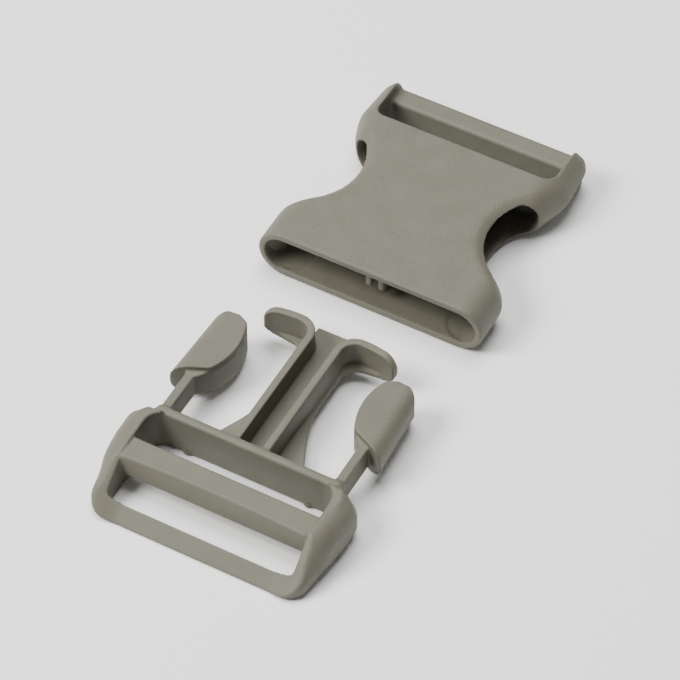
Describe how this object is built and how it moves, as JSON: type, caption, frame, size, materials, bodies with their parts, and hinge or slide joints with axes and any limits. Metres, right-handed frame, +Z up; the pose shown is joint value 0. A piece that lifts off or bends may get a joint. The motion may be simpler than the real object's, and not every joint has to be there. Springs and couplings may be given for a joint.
{
  "type": "side release buckle",
  "caption": "Side release buckle for wide webbing, shown open: a hollow socket with side windows, and a plug with a guide and sprung arms.",
  "frame": {"origin": "bottom centre of the bounding box of both halves as they lie open, on the surface that they lie on", "axes": "+X across the webbing, +Y from the plug towards the socket, the way in which the plug goes in, +Z up"},
  "size_m": [0.05, 0.1222, 0.0115],
  "materials": {
    "plastic": "fine matte spark-eroded texture, grey-green"
  },
  "bodies": {
    "socket": {"socket": "plastic"},
    "plug": {"plug_frame": "plastic", "plug_guide": "plastic"},
    "arm_left": {"arm_left": "plastic"},
    "arm_right": {"arm_right": "plastic"}
  },
  "joints": [
    {"name": "plug_slide", "type": "slide", "parent": "socket", "child": "plug", "axis": [0, 1, 0], "range_m": [0, 0.0466], "deforming": ["arm_left", "arm_right"]},
    {"name": "arm_left_press", "type": "hinge", "parent": "plug", "child": "arm_left", "pos_m": [-0.0189, -0.03615, 0.00585], "axis": [0, 0, -1], "range_deg": [0, 15], "stiffness_Nm_per_rad": 0.4},
    {"name": "arm_right_press", "type": "hinge", "parent": "plug", "child": "arm_right", "pos_m": [0.0189, -0.03615, 0.00585], "axis": [0, 0, 1], "range_deg": [0, 15], "stiffness_Nm_per_rad": 0.4}
  ]
}
